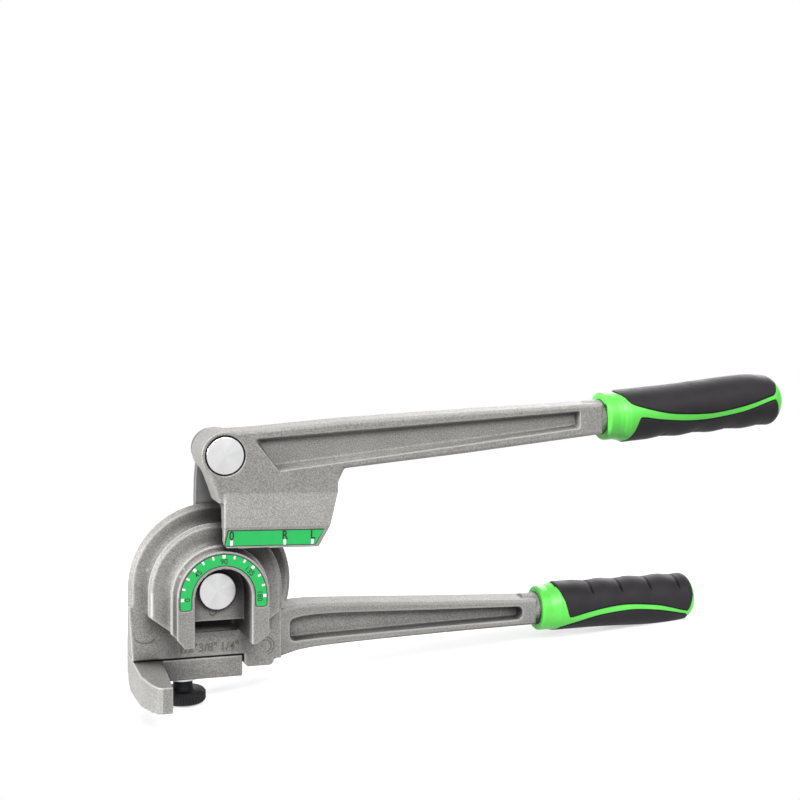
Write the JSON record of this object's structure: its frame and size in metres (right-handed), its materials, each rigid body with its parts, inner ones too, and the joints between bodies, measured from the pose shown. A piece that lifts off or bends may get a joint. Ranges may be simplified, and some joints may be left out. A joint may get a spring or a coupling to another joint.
{
  "type": "hand tube bender",
  "caption": "Hand tube bender: a stepped grooved die on a fixed handle, a link, a lever with a grooved shoe, and a sliding clamp block with a thumb screw.",
  "frame": {"origin": "centre of the lower pin's flat face, on the axis of the bend", "axes": "+X along the handles towards the grips, +Y away from the angle dial along both pivot axes, +Z from the fixed handle towards the lever"},
  "size_m": [0.3977, 0.08, 0.1846],
  "materials": {
    "casting": "fine blasted die casting, grey, satin",
    "scale_plate": "printed green plate, smooth",
    "pin_steel": "bright turned face",
    "bronze": "oiled bush",
    "zinc": "bright zinc plate",
    "spring_steel": "dark spring steel",
    "black_knob": "moulded black, knurled edge",
    "grip_green": "smooth moulded shell",
    "grip_pad": "soft matte rubber"
  },
  "bodies": {
    "former": {"former_body": "casting", "angle_scale_plate": "scale_plate", "lower_bush": "bronze", "lower_grip_sleeve": "grip_green", "lower_grip_palm_pad": "grip_pad", "lower_grip_finger_pad": "grip_pad"},
    "link": {"link_plate": "zinc", "lower_pin": "pin_steel", "upper_pin": "pin_steel", "lower_spacer_washer": "zinc", "lower_rear_washer": "zinc", "lower_retaining_ring": "spring_steel", "upper_spacer_washer": "zinc", "upper_rear_washer": "zinc", "upper_retaining_ring": "spring_steel"},
    "lever": {"lever_casting": "casting", "shoe_scale_strip": "scale_plate", "upper_bush": "bronze", "upper_grip_sleeve": "grip_green", "upper_grip_palm_pad": "grip_pad", "upper_grip_finger_pad": "grip_pad"},
    "clamp": {"clamp_block": "casting"},
    "screw": {"thumb_screw_knob": "black_knob", "thumb_screw_washer": "zinc", "thumb_screw_stud": "zinc"}
  },
  "joints": [
    {"name": "link_swing", "type": "hinge", "parent": "former", "child": "link", "pos_m": [0, 0, 0], "axis": [0, 1, 0], "range_deg": [-97, 82]},
    {"name": "lever_open", "type": "hinge", "parent": "link", "child": "lever", "pos_m": [0.0018, 0, 0.0763], "axis": [0, 1, 0], "range_deg": [-105, 3]},
    {"name": "clamp_slide", "type": "slide", "parent": "former", "child": "clamp", "axis": [1, 0, 0], "range_m": [-0.0163, 0]},
    {"name": "thumb_screw_turn", "type": "hinge", "parent": "former", "child": "screw", "pos_m": [-0.0143, 0.02968, -0.048], "axis": [0, 0, 1], "continuous": true}
  ]
}
